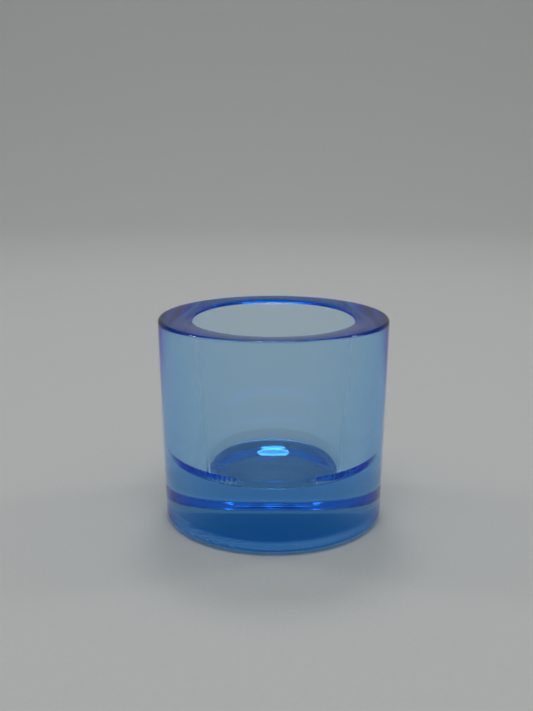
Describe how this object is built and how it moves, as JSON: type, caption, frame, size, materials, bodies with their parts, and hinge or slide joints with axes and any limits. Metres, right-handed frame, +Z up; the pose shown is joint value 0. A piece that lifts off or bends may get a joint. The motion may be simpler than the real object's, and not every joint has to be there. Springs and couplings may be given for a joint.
{
  "type": "glass votive candle holder",
  "caption": "Thick-walled round glass cup with a solid base and a straight open well that holds a tealight candle",
  "frame": {"origin": "centre of the foot, on the surface the holder stands on", "axes": "+Z up along the axis of the cup, +X to the right and -Y towards the viewer; the cup is round, so X and Y are free"},
  "size_m": [0.0664, 0.0664, 0.06],
  "materials": {
    "blue_glass": "clear light blue pressed glass, fire polished"
  },
  "bodies": {
    "root": {"glass_body": "blue_glass"}
  },
  "joints": []
}
